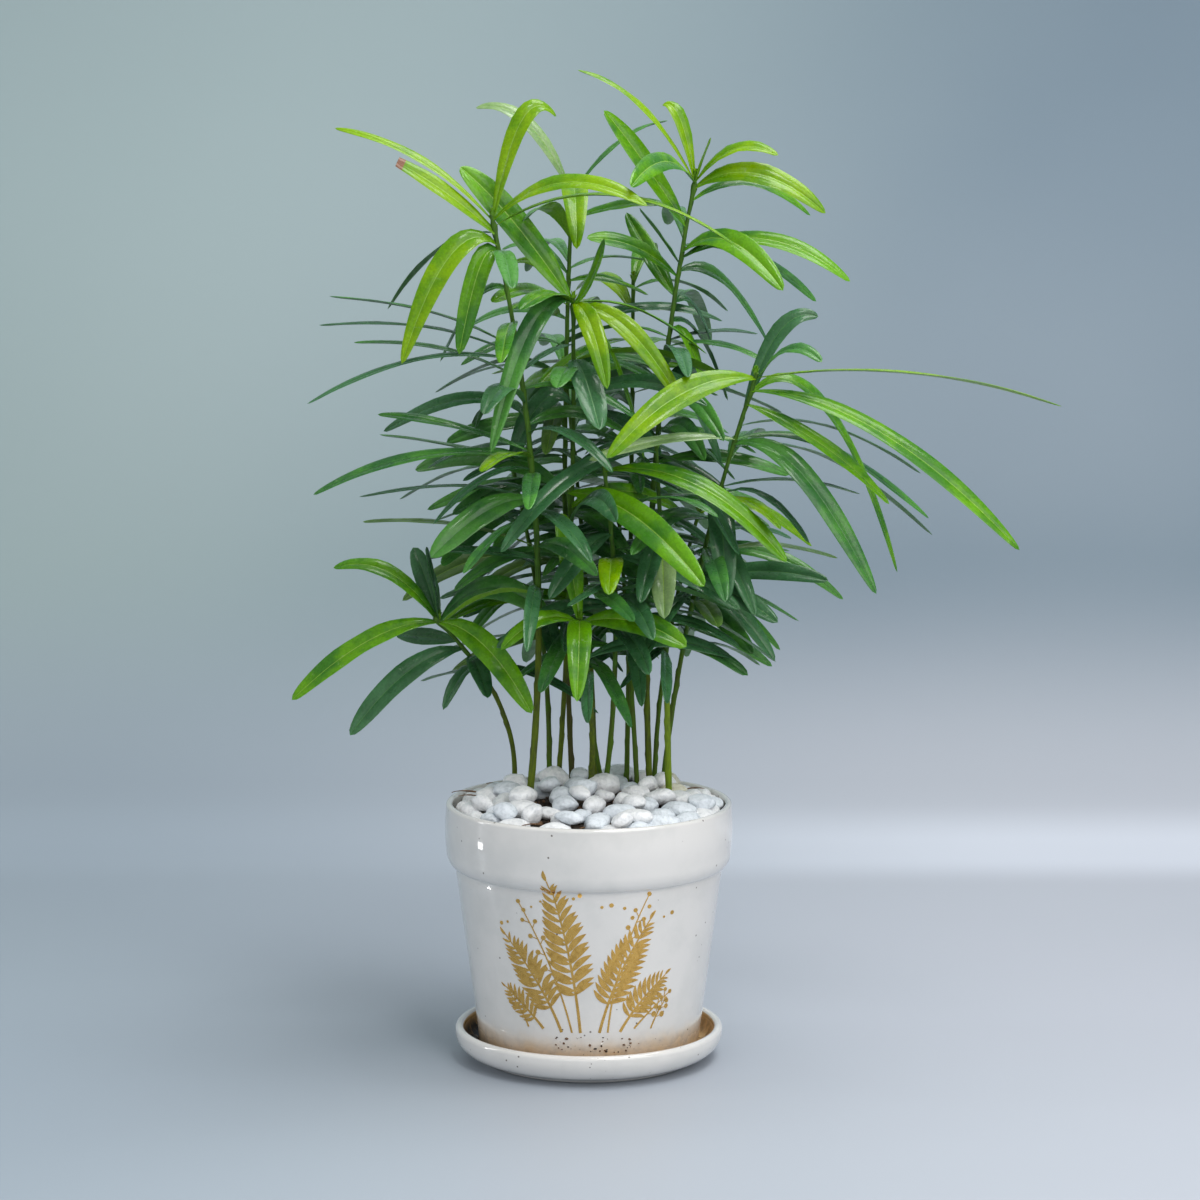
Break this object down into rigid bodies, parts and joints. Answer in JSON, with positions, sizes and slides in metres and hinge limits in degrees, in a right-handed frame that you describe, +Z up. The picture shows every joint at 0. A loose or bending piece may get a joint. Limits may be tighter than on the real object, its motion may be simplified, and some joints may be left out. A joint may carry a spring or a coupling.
{
  "type": "podocarpus in a glazed pot",
  "caption": "Clump of slender podocarpus seedlings with strap leaves, in a white glazed pot on a matching saucer, dressed with pale pebbles.",
  "frame": {"origin": "middle of the saucer's flat underside, on the surface that it stands on", "axes": "+Z up, -Y towards the decorated front of the pot, +X to the right seen from the front"},
  "size_m": [0.3432, 0.223, 0.4471],
  "materials": {
    "glaze": "glossy white glaze",
    "gilding": "fired gold decoration",
    "soil": "damp crumbly potting soil",
    "pebble": "tumbled white pebbles",
    "bark": "young green-brown bark",
    "leaf": "leathery, slightly glossy leaf"
  },
  "bodies": {
    "root": {"saucer": "glaze", "pot": "glaze", "soil": "soil", "pebble_bed": "pebble", "stem_01": "bark", "stem_02": "bark", "stem_03": "bark", "stem_04": "bark", "stem_05": "bark", "stem_06": "bark", "stem_07": "bark", "stem_08": "bark", "stem_09": "bark", "stem_10": "bark", "stem_11": "bark", "stem_12": "bark", "stem_13": "bark", "stem_14": "bark", "stem_15": "bark", "leafy_shoot_01": "leaf", "leafy_shoot_02": "leaf", "leafy_shoot_03": "leaf", "leafy_shoot_04": "leaf", "leafy_shoot_05": "leaf", "leafy_shoot_06": "leaf", "leafy_shoot_07": "leaf", "leafy_shoot_08": "leaf", "leafy_shoot_09": "leaf", "leafy_shoot_10": "leaf", "leafy_shoot_11": "leaf", "leafy_shoot_12": "leaf", "leafy_shoot_13": "leaf", "leafy_shoot_14": "leaf", "leafy_shoot_15": "leaf"}
  },
  "joints": []
}
